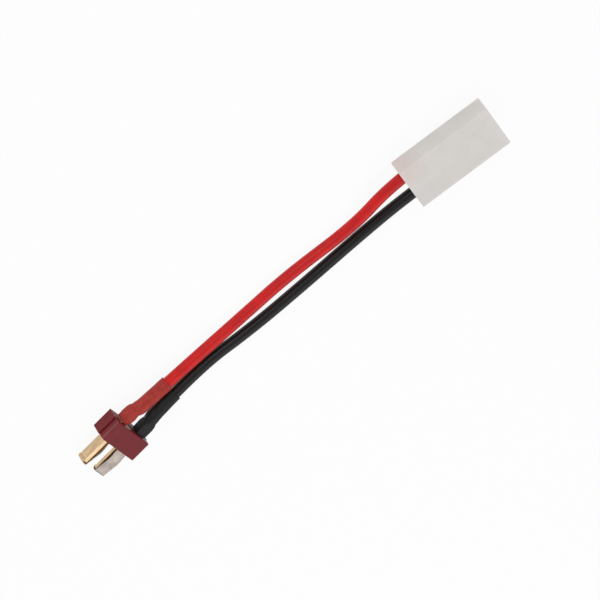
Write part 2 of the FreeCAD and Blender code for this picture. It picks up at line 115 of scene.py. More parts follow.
# The solids' facets: corners this near are one, and faces this near to flat are joined
WELD = 0.001 * MM
FLAT = math.radians(0.6)

# The camera, fitted to the corners of both ends in the photograph
SENSOR_WIDTH = 36.0
FOCAL_PIXELS = 4446
PICTURE_PIXELS = 600
CAMERA_LIFT = math.radians(50.201)
CAMERA_ROLL = math.radians(145.925)
CAMERA_TURN = math.radians(-3.321)
CAMERA_TARGET = Vector((-1.2, 9.07, 0)) * MM
CAMERA_DISTANCE = 1.4

# The stage: how far the floor lies below the table's plane, and how much of it shows as plain white
FLOOR_DROP = 0.02
FLOOR_WHITE = 0.92


# Sizes and colours that a user would change
class CableSizes(bpy.types.PropertyGroup):
    """Sizes of the flexible pieces and of the edges."""
    lead_diameter: bpy.props.FloatProperty(
        name="Lead Diameter", description="Outside of the silicone insulation",
        default=3.85 * MM, min=1 * MM, max=8 * MM, subtype="DISTANCE", unit="LENGTH")
    sleeve_wall: bpy.props.FloatProperty(
        name="Sleeve Wall", description="Thickness of the shrink sleeves once shrunk",
        default=0.35 * MM, min=0.1 * MM, max=1 * MM, subtype="DISTANCE", unit="LENGTH")
    red_sleeve_length: bpy.props.FloatProperty(
        name="Red Sleeve Length", description="Length of the sleeve on the red lead",
        default=18.4 * MM, min=8 * MM, max=40 * MM, subtype="DISTANCE", unit="LENGTH")
    black_sleeve_length: bpy.props.FloatProperty(
        name="Black Sleeve Length", description="Length of the sleeve on the black lead",
        default=17.2 * MM, min=8 * MM, max=40 * MM, subtype="DISTANCE", unit="LENGTH")
    strand_diameter: bpy.props.FloatProperty(
        name="Strand Diameter", description="Thickness of one group of fine strands",
        default=0.27 * MM, min=0.1 * MM, max=0.6 * MM, subtype="DISTANCE", unit="LENGTH")
    moulded_edge: bpy.props.FloatProperty(
        name="Moulded Edge", description="Rounding of the moulded pieces' edges",
        default=0.14 * MM, min=0.0, max=0.5 * MM, subtype="DISTANCE", unit="LENGTH")
    metal_edge: bpy.props.FloatProperty(
        name="Metal Edge", description="Rounding of the stamped metal's edges",
        default=0.05 * MM, min=0.0, max=0.2 * MM, subtype="DISTANCE", unit="LENGTH")


class CableColours(bpy.types.PropertyGroup):
    """Base colours of the finishes."""
    maroon: bpy.props.FloatVectorProperty(
        name="Maroon Nylon", description="Colour of the plug's moulded block",
        default=(0.170, 0.014, 0.019), size=3, min=0, max=1, subtype="COLOR")
    red: bpy.props.FloatVectorProperty(
        name="Red Silicone", description="Colour of the red lead",
        default=(0.62, 0.0085, 0.009), size=3, min=0, max=1, subtype="COLOR")
    black: bpy.props.FloatVectorProperty(
        name="Black Silicone", description="Colour of the black lead",
        default=(0.0085, 0.0075, 0.008), size=3, min=0, max=1, subtype="COLOR")
    red_shrink: bpy.props.FloatVectorProperty(
        name="Red Sleeve", description="Colour of the red shrink sleeve",
        default=(0.42, 0.032, 0.024), size=3, min=0, max=1, subtype="COLOR")
    natural: bpy.props.FloatVectorProperty(
        name="Natural Nylon", description="Colour of the receptacle housing",
        default=(0.72, 0.69, 0.66), size=3, min=0, max=1, subtype="COLOR")
    gold: bpy.props.FloatVectorProperty(
        name="Gold Flash", description="Colour of the blades' plating",
        default=(0.70, 0.50, 0.30), size=3, min=0, max=1, subtype="COLOR")


# Shader maths: sockets that add and multiply like numbers, and one method that makes any node
class Socket:
    """An output of a node, with the arithmetic that the finishes use."""

    def __init__(self, finish, link):
        self.finish = finish
        self.link = link

    def _math(self, operation, first, second):
        return self.finish.node("ShaderNodeMath", {"operation": operation}, {0: first, 1: second})

    def __add__(self, other):
        return self._math("ADD", self, other)

    __radd__ = __add__

    def __sub__(self, other):
        return self._math("SUBTRACT", self, other)

    def __rsub__(self, other):
        return self._math("SUBTRACT", other, self)

    def __mul__(self, other):
        return self._math("MULTIPLY", self, other)

    __rmul__ = __mul__

    def ramp(self, low, high):
        """This value, from 0 at low to 1 at high."""
        return self.finish.node("ShaderNodeMapRange", {"interpolation_type": "SMOOTHSTEP"}, {
            "Value": self, "From Min": low, "From Max": high})


class Finish:
    """One procedural material."""

    def __init__(self, name):
        self.material = bpy.data.materials.new(name)
        self.material.use_nodes = True
        self.tree = self.material.node_tree
        self.tree.nodes.clear()

    def node(self, kind, settings=None, values=None, output=0):
        """Adds a node: its settings first, then the values or links of its sockets."""
        made = self.tree.nodes.new(kind)
        for name, value in (settings or {}).items():
            setattr(made, name, value)
        for name, value in (values or {}).items():
            if isinstance(value, Socket):
                self.tree.links.new(value.link, made.inputs[name])
            else:
                made.inputs[name].default_value = value
        return Socket(self, made.outputs[output])

    def place(self, scale=(1, 1, 1), turn=(0, 0, 0), attribute=None, offset=(0, 0, 0)):
        """Where a point lies on the piece, in millimetres."""
        if attribute:
            source = self.node("ShaderNodeAttribute", {"attribute_name": attribute},
                               output="Vector")
        else:
            source = self.node("ShaderNodeTexCoord", output="Object")
        return self.node("ShaderNodeMapping", {}, {
            "Vector": source, "Rotation": turn, "Location": offset,
            "Scale": tuple(1000 * share for share in scale)})

    def part(self, place, axis):
        """One coordinate of a place."""
        return self.node("ShaderNodeSeparateXYZ", {}, {0: place}, output=axis)

    def grain(self, place, scale, detail=2.0, roughness=0.5):
        """Soft noise, from 0 to 1."""
        return self.node("ShaderNodeTexNoise", {}, {
            "Vector": place, "Scale": scale, "Detail": detail, "Roughness": roughness},
            output="Fac")

    def mix(self, share, first, second):
        """A colour between two colours."""
        inputs = [value if isinstance(value, Socket) else (*value, 1) for value in (first, second)]
        return self.node("ShaderNodeMix", {"data_type": "RGBA"}, {
            "Factor": share, 6: inputs[0], 7: inputs[1]}, output=2)

    def bump(self, height, distance, strength):
        """The normal of a fine relief."""
        return self.node("ShaderNodeBump", {}, {
            "Height": height, "Distance": distance, "Strength": strength})

    def surface(self, **values):
        """The material's shader, from values or links named like its sockets."""
        named = {name.replace("_", " "): value for name, value in values.items()}
        shader = self.node("ShaderNodeBsdfPrincipled", {}, named, output="BSDF")
        self.node_out(shader)
        return self.material

    def node_out(self, shader):
        """Links a shader to the material's output."""
        out = self.tree.nodes.new("ShaderNodeOutputMaterial")
        self.tree.links.new(shader.link, out.inputs["Surface"])


def shade(colour, share):
    """A colour made lighter or darker."""
    return tuple(min(1.0, part * share) for part in colour)


def maroon_nylon(colour):
    """Satin moulded nylon: fine mould grain, flow clouds, a glossier upper step, and painted shade
    and a painted highlight on the step's side walls.
    """
    finish = Finish("maroon_nylon")
    place = finish.place()
    clouds = finish.grain(place, 0.45, 3, 0.55)
    speckle = finish.grain(place, 9.0, 2, 0.6).ramp(0.56, 0.72)
    in_plug = finish.place(turn=(0, 0, -PLUG_TURN), offset=PLUG.inverted().translation / MM)
    up = finish.part(in_plug, "Z")
    side = finish.node("ShaderNodeMath", {"operation": "ABSOLUTE"}, {0: finish.part(in_plug, "Y")})
    step = up.ramp(4.7, 4.95)
    # The step's side walls, where shade and a highlight are painted
    wall = step * side.ramp(7.2, 7.35)
    low = finish.mix(clouds.ramp(0.35, 0.7), shade(colour, 0.99), shade(colour, 1.21))
    high = finish.mix(clouds.ramp(0.35, 0.7), shade(colour, 1.0), shade(colour, 1.19))
    base = finish.mix(step, low, high)
    base = finish.mix(speckle * 0.22, base, shade(colour, 0.45))
    # Painted shade: dark saturated red at the foot of the step's side walls, in the concave corner
    base = finish.mix(wall * (1 - up.ramp(5.0, 6.8)) * 0.8, base, (0.150, 0.003, 0.007))
    # Painted highlight: a pale pink band along the top of the step's side walls, at the ridge
    base = finish.mix(wall * up.ramp(6.4, 7.8) * 0.3, base, (0.40, 0.19, 0.20))
    grain = finish.grain(place, 16.0, 3, 0.65)
    return finish.surface(
        Base_Color=base, Roughness=0.40 + 0.14 * clouds - 0.08 * step,
        Normal=finish.bump(grain, 0.00003, 0.25), IOR=1.5, Specular_IOR_Level=0.2)


def gold_flash(colour):
    """Bright gold plating with fine drawn lines along the blade."""
    finish = Finish("gold_flash")
    along = finish.place(scale=(0.05, 3, 3), turn=(0, 0, -PLUG_TURN))
    lines = finish.grain(along, 1.6, 2)
    clouds = finish.grain(finish.place(scale=(0.35, 1, 1)), 0.6, 3)
    base = finish.mix(clouds.ramp(0.3, 0.7), shade(colour, 0.80), shade(colour, 1.08))
    base = finish.mix(lines.ramp(0.52, 0.7) * 0.3, base, (0.44, 0.28, 0.13))
    return finish.surface(
        Base_Color=base, Metallic=1.0, Roughness=0.26 + 0.1 * lines,
        Normal=finish.bump(lines, 0.00001, 0.2))


def spring_strip(colour):
    """Rolled spring metal, bare where it rubs, with the blades' plating left on its fold."""
    finish = Finish("spring_strip")
    along = finish.place(scale=(0.06, 4, 4), turn=(0, 0, -PLUG_TURN))
    lines = finish.grain(along, 1.6, 3)
    clouds = finish.grain(finish.place(), 0.5, 3)
    fold = finish.node("ShaderNodeAttribute", {"attribute_name": "fold"}, output="Fac")
    base = finish.mix(clouds.ramp(0.3, 0.72), (0.34, 0.29, 0.255), (0.455, 0.40, 0.36))
    base = finish.mix(lines.ramp(0.5, 0.75) * 0.3, base, (0.26, 0.22, 0.19))
    base = finish.mix(fold, base, shade(colour, 0.92))
    return finish.surface(
        Base_Color=base, Metallic=1.0, Roughness=0.32 + 0.14 * lines,
        Normal=finish.bump(lines, 0.00001, 0.2))


def painted_leaf_shade(pole, dark, light):
    """Painted shade, dark brown, on a leaf's side that faces its blade, which the blade reflects in
    the gap between them.
    """
    finish = Finish(pole + "_leaf_underside")
    clouds = finish.grain(finish.place(), 0.8, 3)
    base = finish.mix(clouds.ramp(0.3, 0.7), dark, light)
    return finish.surface(Base_Color=base, Metallic=0.8, Roughness=0.42 + 0.2 * clouds)


def bright_metal(name, dark, light, rough, scale):
    """Plated or soldered metal with soft clouding."""
    finish = Finish(name)
    place = finish.place()
    clouds = finish.grain(place, scale, 3, 0.6)
    fine = finish.grain(place, scale * 9, 2)
    base = finish.mix(clouds.ramp(0.3, 0.7), dark, light)
    return finish.surface(
        Base_Color=base, Metallic=1.0, Roughness=rough + 0.16 * clouds,
        Normal=finish.bump(fine, 0.00001, 0.4))


def silicone(name, colour):
    """Extruded silicone: faint lines along the lead, dusty patches and a satin skin."""
    finish = Finish(name)
    lines = finish.grain(finish.place(scale=(1, 1, 0.05), attribute="lay"), 3.2, 3, 0.6)
    patches = finish.grain(finish.place(attribute="lay"), 0.16, 3, 0.6)
    dust = finish.grain(finish.place(attribute="lay"), 2.4, 3, 0.7).ramp(0.6, 0.8)
    base = finish.mix(patches.ramp(0.35, 0.7), shade(colour, 0.88), shade(colour, 1.1))
    base = finish.mix(dust * 0.03, base, (0.5, 0.47, 0.45))
    return finish.surface(
        Base_Color=base, Roughness=0.30 + 0.14 * patches + 0.1 * dust,
        Normal=finish.bump(lines, 0.00003, 0.2), IOR=1.43, Specular_IOR_Level=0.34)


def shrink(name, colour, light):
    """Shrink sleeve: satin, with small ripples round it and paler stretched places."""
    finish = Finish(name)
    ripples = finish.grain(finish.place(scale=(0.9, 0.9, 0.6), attribute="lay"), 0.8, 4, 0.6)
    fine = finish.grain(finish.place(attribute="lay"), 5.0, 3, 0.6)
    base = finish.mix(ripples.ramp(0.35, 0.75), shade(colour, 0.86), light)
    return finish.surface(
        Base_Color=base, Roughness=0.42 + 0.16 * ripples,
        Normal=finish.bump(0.6 * ripples + 0.4 * fine, 0.00008, 0.16), IOR=1.48,
        Specular_IOR_Level=0.24)


def natural_nylon(colour):
    """Milky unfilled nylon: cloudy, satin, and a little painted light and shade in each lead's
    colour near its bore, as if seen through the nylon.
    """
    finish = Finish("natural_nylon")
    place = finish.place()
    clouds = finish.grain(place, 0.14, 4, 0.6)
    grain = finish.grain(place, 7.0, 3, 0.6)
    x, y = finish.part(place, "X"), finish.part(place, "Y")
    rear = x.ramp(-61.0, -50.5)
    red_side = rear * (1 - y.ramp(-11.5, -6.8))
    black_side = rear * y.ramp(-6.6, -3.2)
    base = finish.mix(clouds.ramp(0.32, 0.7), shade(colour, 0.975), shade(colour, 1.03))
    # Painted light through the nylon: pink near the red lead's bore, and painted shade, a darker
    # blue-grey, near the black lead's bore
    base = finish.mix(red_side * 0.2, base, (0.82, 0.46, 0.46))
    base = finish.mix(black_side * 0.12, base, (0.42, 0.42, 0.50))
    return finish.surface(
        Base_Color=base, Roughness=0.42 + 0.12 * clouds,
        Normal=finish.bump(grain, 0.00003, 0.3), IOR=1.53,
        Subsurface_Weight=0.45, Subsurface_Radius=(1.0, 0.92, 0.85), Subsurface_Scale=0.0014)


def studio_floor():
    """A pale floor that shows white to the camera and keeps the object's shadow."""
    finish = Finish("studio_floor")
    lit = finish.node("ShaderNodeBsdfDiffuse", {}, {"Color": (0.92, 0.92, 0.92, 1)})
    glow = finish.node("ShaderNodeEmission", {}, {"Color": (1, 1, 1, 1), "Strength": 1.0})
    seen = finish.node("ShaderNodeLightPath", output="Is Camera Ray")
    gloss = finish.node("ShaderNodeLightPath", output="Is Glossy Ray")
    through = finish.node("ShaderNodeLightPath", output="Is Transmission Ray")
    share = (seen + gloss + through) * FLOOR_WHITE
    finish.node_out(finish.node("ShaderNodeMixShader", {}, {0: share, 1: lit, 2: glow}))
    return finish.material


# Geometry Nodes: trees that make what follows a lead's line
class Tree:
    """A geometry node tree with one method that makes any node."""

    def __init__(self, name, inputs):
        self.group = bpy.data.node_groups.new(name, "GeometryNodeTree")
        face = self.group.interface
        face.new_socket("Geometry", in_out="INPUT", socket_type="NodeSocketGeometry")
        self.identifiers = {}
        for label, kind, value in inputs:
            socket = face.new_socket(label, in_out="INPUT", socket_type=kind)
            if value is not None:
                socket.default_value = value
            self.identifiers[label] = socket.identifier
        face.new_socket("Geometry", in_out="OUTPUT", socket_type="NodeSocketGeometry")
        self.source = self.group.nodes.new("NodeGroupInput")

    def input(self, label):
        return self.source.outputs[label]

    def node(self, kind, settings=None, values=None, output=0):
        """Adds a node: its settings first, then the values or links of its sockets."""
        made = self.group.nodes.new(kind)
        for name, value in (settings or {}).items():
            setattr(made, name, value)
        for name, value in (values or {}).items():
            if isinstance(value, bpy.types.NodeSocket):
                self.group.links.new(value, made.inputs[name])
            else:
                made.inputs[name].default_value = value
        return made.outputs[output]

    def maths(self, operation, first, second):
        return self.node("ShaderNodeMath", {"operation": operation}, {0: first, 1: second})

    def vector(self, operation, first, second):
        return self.node("ShaderNodeVectorMath", {"operation": operation}, {0: first, 1: second})

    def scaled(self, vector, share):
        return self.node("ShaderNodeVectorMath", {"operation": "SCALE"},
                         {0: vector, "Scale": share})

    def store(self, geometry, name, kind, value):
        return self.node("GeometryNodeStoreNamedAttribute",
                         {"data_type": kind, "domain": "POINT"},
                         {"Geometry": geometry, "Name": name, "Value": value})

    def named(self, name, kind):
        return self.node("GeometryNodeInputNamedAttribute", {"data_type": kind}, {"Name": name})

    def end(self, geometry, material):
        """Realize Instances, Set Material, then the output."""
        real = self.node("GeometryNodeRealizeInstances", {}, {"Geometry": geometry})
        dressed = self.node("GeometryNodeSetMaterial", {}, {"Geometry": real, "Material": material})
        out = self.group.nodes.new("NodeGroupOutput")
        self.group.links.new(dressed, out.inputs["Geometry"])
        return self


def lead_tree():
    """A round lead swept along its line, which carries its own lay-along coordinates."""
    tree = Tree("Lead", [
        ("Diameter", "NodeSocketFloat", 3.85 * MM), ("Sides", "NodeSocketInt", 40),
        ("Step", "NodeSocketFloat", 0.5 * MM), ("Unevenness", "NodeSocketFloat", 0.02 * MM),
        ("Material", "NodeSocketMaterial", None)])
    line = tree.node("GeometryNodeMeshToCurve", {}, {"Mesh": tree.input("Geometry")})
    line = tree.node("GeometryNodeResampleCurve", {"mode": "LENGTH"},
                     {"Curve": line, "Length": tree.input("Step")})
    along = tree.node("GeometryNodeSplineParameter", output="Length")
    line = tree.store(line, "along", "FLOAT", along)
    radius = tree.maths("MULTIPLY", tree.input("Diameter"), 0.5)
    ring = tree.node("GeometryNodeCurvePrimitiveCircle", {"mode": "RADIUS"},
                     {"Resolution": tree.input("Sides"), "Radius": radius})
    ring = tree.store(ring, "ring", "FLOAT_VECTOR", tree.node("GeometryNodeInputPosition"))
    body = tree.node("GeometryNodeCurveToMesh", {},
                     {"Curve": line, "Profile Curve": ring, "Fill Caps": True})
    across = tree.node("ShaderNodeSeparateXYZ", {}, {0: tree.named("ring", "FLOAT_VECTOR")})
    across_y = tree.node("ShaderNodeSeparateXYZ", {}, {0: tree.named("ring", "FLOAT_VECTOR")}, "Y")
    lay = tree.node("ShaderNodeCombineXYZ", {}, {
        "X": across, "Y": across_y, "Z": tree.named("along", "FLOAT")})
    body = tree.store(body, "lay", "FLOAT_VECTOR", lay)
    wobble = tree.node("ShaderNodeTexNoise", {}, {
        "Vector": tree.named("lay", "FLOAT_VECTOR"), "Scale": 90.0, "Detail": 1.0}, "Fac")
    push = tree.maths("MULTIPLY", tree.maths("SUBTRACT", wobble, 0.5), tree.input("Unevenness"))
    offset = tree.scaled(tree.node("GeometryNodeInputNormal"), push)
    body = tree.node("GeometryNodeSetPosition", {}, {"Geometry": body, "Offset": offset})
    body = tree.node("GeometryNodeSetShadeSmooth", {}, {"Geometry": body})
    return tree.end(body, tree.input("Material"))


def strand_tree():
    """A bundle of fine strands laid in a long twist, bent along a lead's bare end."""
    tree = Tree("Strands", [
        ("Path", "NodeSocketObject", None), ("Diameter", "NodeSocketFloat", 0.27 * MM),
        ("Twist", "NodeSocketFloat", 0.9), ("Material", "NodeSocketMaterial", None)])
    line = tree.node("GeometryNodeObjectInfo", {}, {"Object": tree.input("Path")}, "Geometry")
    line = tree.node("GeometryNodeMeshToCurve", {}, {"Mesh": line})
    ring = tree.node("GeometryNodeCurvePrimitiveCircle", {"mode": "RADIUS"}, {
        "Resolution": 8, "Radius": tree.maths("MULTIPLY", tree.input("Diameter"), 0.5)})
    upright = tree.node("GeometryNodeCurvePrimitiveLine", {},
                        {"Start": (0, 0, 0), "End": (0, 0, 1)})
    upright = tree.node("GeometryNodeResampleCurve", {}, {"Curve": upright, "Count": 14})
    strand = tree.node("GeometryNodeCurveToMesh", {}, {
        "Curve": upright, "Profile Curve": ring, "Fill Caps": True})
    bundle = tree.node("GeometryNodeInstanceOnPoints", {},
                       {"Points": tree.input("Geometry"), "Instance": strand})
    bundle = tree.node("GeometryNodeRealizeInstances", {}, {"Geometry": bundle})
    place = tree.node("GeometryNodeInputPosition")
    share = tree.node("ShaderNodeSeparateXYZ", {}, {0: place}, "Z")
    turned = tree.node("ShaderNodeVectorRotate", {"rotation_type": "Z_AXIS"}, {
        "Vector": place, "Angle": tree.maths("MULTIPLY", share, tree.input("Twist"))})
    x = tree.node("ShaderNodeSeparateXYZ", {}, {0: turned}, "X")
    y = tree.node("ShaderNodeSeparateXYZ", {}, {0: turned}, "Y")
    samples = [tree.node("GeometryNodeSampleCurve", {"mode": "FACTOR", "data_type": "FLOAT"},
                         {"Curves": line, "Factor": share}, name)
               for name in ("Position", "Tangent", "Normal")]
    side = tree.vector("CROSS_PRODUCT", samples[1], samples[2])
    bent = tree.vector("ADD", samples[0], tree.vector(
        "ADD", tree.scaled(samples[2], x), tree.scaled(side, y)))
    bundle = tree.node("GeometryNodeSetPosition", {}, {"Geometry": bundle, "Position": bent})
    bundle = tree.node("GeometryNodeSetShadeSmooth", {}, {"Geometry": bundle})
    return tree.end(bundle, tree.input("Material"))


# Meshes
def link(name, data):
    """An object of some data, in the scene."""
    made = bpy.data.objects.new(name, data)
    bpy.context.scene.collection.objects.link(made)
    return made


def solid(name, build):
    """An object from a function that fills a bmesh."""
    mesh = bpy.data.meshes.new(name)
    shape = bmesh.new()
    build(shape)
    shape.to_mesh(mesh)
    shape.free()
    return link(name, mesh)


def evaluated_copy(source, name):
    """A plain mesh object of what a source's modifiers make."""
    bpy.context.view_layer.update()
    graph = bpy.context.evaluated_depsgraph_get()
    mesh = bpy.data.meshes.new_from_object(source.evaluated_get(graph), depsgraph=graph)
    mesh.name = name
    return link(name, mesh)


def finish_modifiers(piece):
    """Turns a piece's modifiers into its plain mesh."""
    made = evaluated_copy(piece, piece.name + "_made")
    old_mesh, piece.data = piece.data, made.data
    piece.modifiers.clear()
    bpy.data.objects.remove(made)
    bpy.data.meshes.remove(old_mesh)
    return piece


def nodes_modifier(piece, tree, values):
    """Adds a tree to a piece with its inputs set, and turns the result into a plain mesh."""
    modifier = piece.modifiers.new(tree.group.name, "NODES")
    modifier.node_group = tree.group
    for label, value in values.items():
        modifier[tree.identifiers[label]] = value
    return finish_modifiers(piece)


def dress(piece, material):
    """Gives a piece one material."""
    piece.data.materials.clear()
    piece.data.materials.append(material)


def seat(piece, body, slot, *nodes):
    """Says which body carries a piece and the nodes that it stands for; its slot is not used."""
    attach(piece, body)
    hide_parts(*nodes)


def softened(node, edge, material, turn=30, reshape=None):
    """A copy of a node's solid with its sharp edges rounded off."""
    shape = bmesh.new()
    shape.from_mesh(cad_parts[node].data)
    bmesh.ops.remove_doubles(shape, verts=shape.verts, dist=WELD)
    bmesh.ops.dissolve_limit(shape, angle_limit=FLAT, verts=shape.verts,
                             edges=shape.edges, delimit=set())
    if reshape:
        reshape(shape)
    mesh = bpy.data.meshes.new(node + "_dressed")
    shape.to_mesh(mesh)
    shape.free()
    piece = link(node + "_dressed", mesh)
    mesh.shade_smooth()
    bevel = piece.modifiers.new("edge", "BEVEL")
    bevel.limit_method = "ANGLE"
    bevel.angle_limit = math.radians(turn)
    bevel.width = edge
    bevel.segments = 2
    bevel.miter_outer = "MITER_ARC"
    normals = piece.modifiers.new("normals", "WEIGHTED_NORMAL")
    normals.keep_sharp = True
    finish_modifiers(piece)
    dress(piece, material)
    return piece


def smooth_line(name, points):
    """A lead's smooth line: a spline of order 3 with its route's points as control points."""
    curve = bpy.data.curves.new(name, "CURVE")
    curve.dimensions = "3D"
    curve.resolution_u = 48
    spline = curve.splines.new("NURBS")
    spline.points.add(len(points) - 1)
    for made, point in zip(spline.points, points):
        made.co = (*point, 1)
    spline.order_u = 3
    spline.use_endpoint_u = True
    return link(name, curve)


def polyline(name, points):
    """A bare line of edges through points."""
    mesh = bpy.data.meshes.new(name)
    mesh.from_pydata(points, [(i, i + 1) for i in range(len(points) - 1)], [])
    return link(name, mesh)


def route(pole):
    """A lead's route in metres, the same points as in the solid model."""
    across, up = STRIP_OFFSET[pole]
    start = SEATS[pole] @ (Vector((-STRIP_BACK, across, up)) * MM)
    end = Vector(TERMINAL_END[pole]) * MM
    middle = [Vector(point) * MM for point in RESTING[pole]]
    return [start] + middle + [end + Vector((ENTRY_RUN * MM, 0, 0)), end]


def line_points(pole):
    """Points along a lead's smooth line."""
    curve = smooth_line("line", route(pole))
    mesh = bpy.data.meshes.new_from_object(curve)
    points = [vertex.co.copy() for vertex in mesh.vertices]
    bpy.data.meshes.remove(mesh)
    data = curve.data
    bpy.data.objects.remove(curve)
    bpy.data.curves.remove(data)
    return points


def cumulative(points):
    """How far along a line each of its points lies."""
    reach = [0.0]
    for before, after in zip(points, points[1:]):
        reach.append(reach[-1] + (after - before).length)
    return reach


def at_length(points, reach, length):
    """The point at a length along a line."""
    for index in range(len(points) - 1):
        if reach[index + 1] >= length or index == len(points) - 2:
            span = reach[index + 1] - reach[index]
            share = (length - reach[index]) / span
            return points[index].lerp(points[index + 1], share)


# One operator for each piece or group of like pieces
class CABLE_OT_leads(bpy.types.Operator):
    """Add the two silicone leads"""
    bl_idname = "cable.leads"
    bl_label = "Leads"

    def execute(self, context):
        sizes = context.scene.cable_sizes
        colours = context.scene.cable_colours
        tree = lead_tree()
        skins = {
            "positive": silicone("red_silicone", colours.red),
            "negative": silicone("black_silicone", colours.black),
        }
        for pole, colour in COLOUR_OF.items():
            points = line_points(pole)
            lead = polyline(colour + "_lead", points)
            nodes_modifier(lead, tree, {
                "Diameter": sizes.lead_diameter, "Material": skins[pole]})
            seat(lead, CABLE, colour + "_silicone", colour + "_wire")
            cumulative(points)[-1]
        return {"FINISHED"}


class CABLE_OT_sleeves(bpy.types.Operator):
    """Add the shrink sleeves over the soldered tabs"""
    bl_idname = "cable.sleeves"
    bl_label = "Shrink Sleeves"

    def execute(self, context):
        sizes = context.scene.cable_sizes
        colours = context.scene.cable_colours
        skins = {
            "positive": shrink("red_shrink", colours.red_shrink, (0.47, 0.048, 0.037)),
            "negative": shrink("black_shrink", (0.010, 0.0095, 0.009), (0.019, 0.018, 0.018)),
        }
        for pole, colour in COLOUR_OF.items():
            piece = self.sleeve(pole, colour, sizes)
            dress(piece, skins[pole])
            seat(piece, CABLE, colour + "_shrink", colour + "_heat_shrink")
        return {"FINISHED"}

    def sections(self, pole, sizes):
        """Rings along a sleeve, each with its centre, half sizes and squareness, and their side."""
        tube = sizes.lead_diameter / 2 + SLEEVE_PLAY * MM + sizes.sleeve_wall
        rows = []
        frame_of = SEATS[pole]
        side = (frame_of.to_3x3() @ Vector((0, 1, 0))).normalized()
        for back, y, z, half_across, half_up, square in SLEEVE_OVER_TAB[pole]:
            centre = frame_of @ (Vector((-back, y, z)) * MM)
            rows.append((centre, half_across * MM, half_up * MM, square))
        points = line_points(pole)
        reach = cumulative(points)
        tab_part = STRIP_BACK - SLEEVE_START
        run = 0.0
        length = sizes.red_sleeve_length if pole == "positive" else sizes.black_sleeve_length
        while tab_part * MM + run < length - 1e-9:
            centre = at_length(points, reach, run)
            swell = 1.0 + 0.025 * noise.noise(Vector((run * 260, 1.7, len(pole))))
            swell += 0.03 * math.exp(-run / (1.6 * MM))
            rows.append((centre, tube * swell, tube * swell, 2.0))
            run += SLEEVE_STEP * MM
        centre = at_length(points, reach, length - tab_part * MM)
        rows.append((centre, tube * 1.015, tube * 1.015, 2.0))
        return rows, side

    def sleeve(self, pole, colour, sizes):
        """A tube with a wall, of many rings with small ripples, and rounded rims."""
        rows, side = self.sections(pole, sizes)
        fine = []
        for row, following in zip(rows, rows[1:]):
            gap = (following[0] - row[0]).length
            steps = max(1, round(gap / (0.3 * MM)))
            for step in range(steps):
                fine.append(self.between(row, following, step / steps))
        fine.append(rows[-1])
        centres = [row[0] for row in fine]
        for _ in range(3):
            centres = [centres[0]] + [
                (a + b * 2 + c) / 4 for a, b, c in zip(centres, centres[1:], centres[2:])
            ] + [centres[-1]]
        reach = cumulative(centres)
        around = 48
        total = len(fine)

        def build(shape):
            lay = shape.verts.layers.float_vector.new("lay")
            skins = []
            for inset in (0.0, sizes.sleeve_wall):
                rings = []
                for index, row in enumerate(fine):
                    centre = centres[index]
                    nearby = centres[min(index + 1, total - 1)] - centres[max(index - 1, 0)]
                    along = nearby.normalized()
                    across = (side - along * side.dot(along)).normalized()
                    up = along.cross(across)
                    ring = []
                    for step in range(around):
                        angle = math.tau * step / around
                        c, s = math.cos(angle), math.sin(angle)
                        power = 2 / row[3]
                        x = math.copysign(abs(c) ** power, c) * (row[1] - inset)
                        y = math.copysign(abs(s) ** power, s) * (row[2] - inset)
                        ripple = noise.fractal(
                            Vector((c * 1.3, s * 1.3, reach[index] * 210)), 0.9, 2.0, 2)
                        fade = 0.06 * MM * math.exp(-(reach[index] / (7 * MM)) ** 2) + 0.012 * MM
                        lift = 1 + ripple * fade / (2 * MM) * (1 if inset == 0 else 0.5)
                        vert = shape.verts.new(centre + across * (x * lift) + up * (y * lift))
                        vert[lay] = Vector((c * 2 * MM, s * 2 * MM, reach[index]))
                        ring.append(vert)
                    rings.append(ring)
                skins.append(rings)
            self.skin(shape, skins[0], around, False)
            self.skin(shape, skins[1], around, True)
            for end in (0, -1):
                outer, inner = skins[0][end], skins[1][end]
                for step in range(around):
                    following = (step + 1) % around
                    quad = [outer[step], inner[step], inner[following], outer[following]]
                    shape.faces.new(quad if end == 0 else quad[::-1])
            bmesh.ops.recalc_face_normals(shape, faces=shape.faces)
            for face in shape.faces:
                face.smooth = True

        piece = solid(colour + "_sleeve", build)
        bevel = piece.modifiers.new("rim", "BEVEL")
        bevel.limit_method = "ANGLE"
        bevel.angle_limit = math.radians(60)
        bevel.width = 0.1 * MM
        bevel.segments = 2
        return finish_modifiers(piece)

    @staticmethod
    def between(row, following, share):
        """A ring between two rings."""
        smooth = share * share * (3 - 2 * share)
        centre = row[0].lerp(following[0], share)
        sizes = [a + (b - a) * smooth for a, b in zip(row[1:], following[1:])]
        return (centre, *sizes)

    @staticmethod
    def skin(shape, rings, around, inside):
        """Faces between each ring and the next."""
        for ring, following in zip(rings, rings[1:]):
            for step in range(around):
                nearby = (step + 1) % around
                quad = [ring[step], ring[nearby], following[nearby], following[step]]
                shape.faces.new(quad[::-1] if inside else quad)


class CABLE_OT_plug_block(bpy.types.Operator):
    """Add the plug's moulded block"""
    bl_idname = "cable.plug_block"
    bl_label = "Plug Block"

    def execute(self, context):
        edge = context.scene.cable_sizes.moulded_edge
        skin = maroon_nylon(context.scene.cable_colours.maroon)
        piece = softened("plug_body", edge, skin)
        seat(piece, CABLE, "red_nylon", "plug_body")
        return {"FINISHED"}


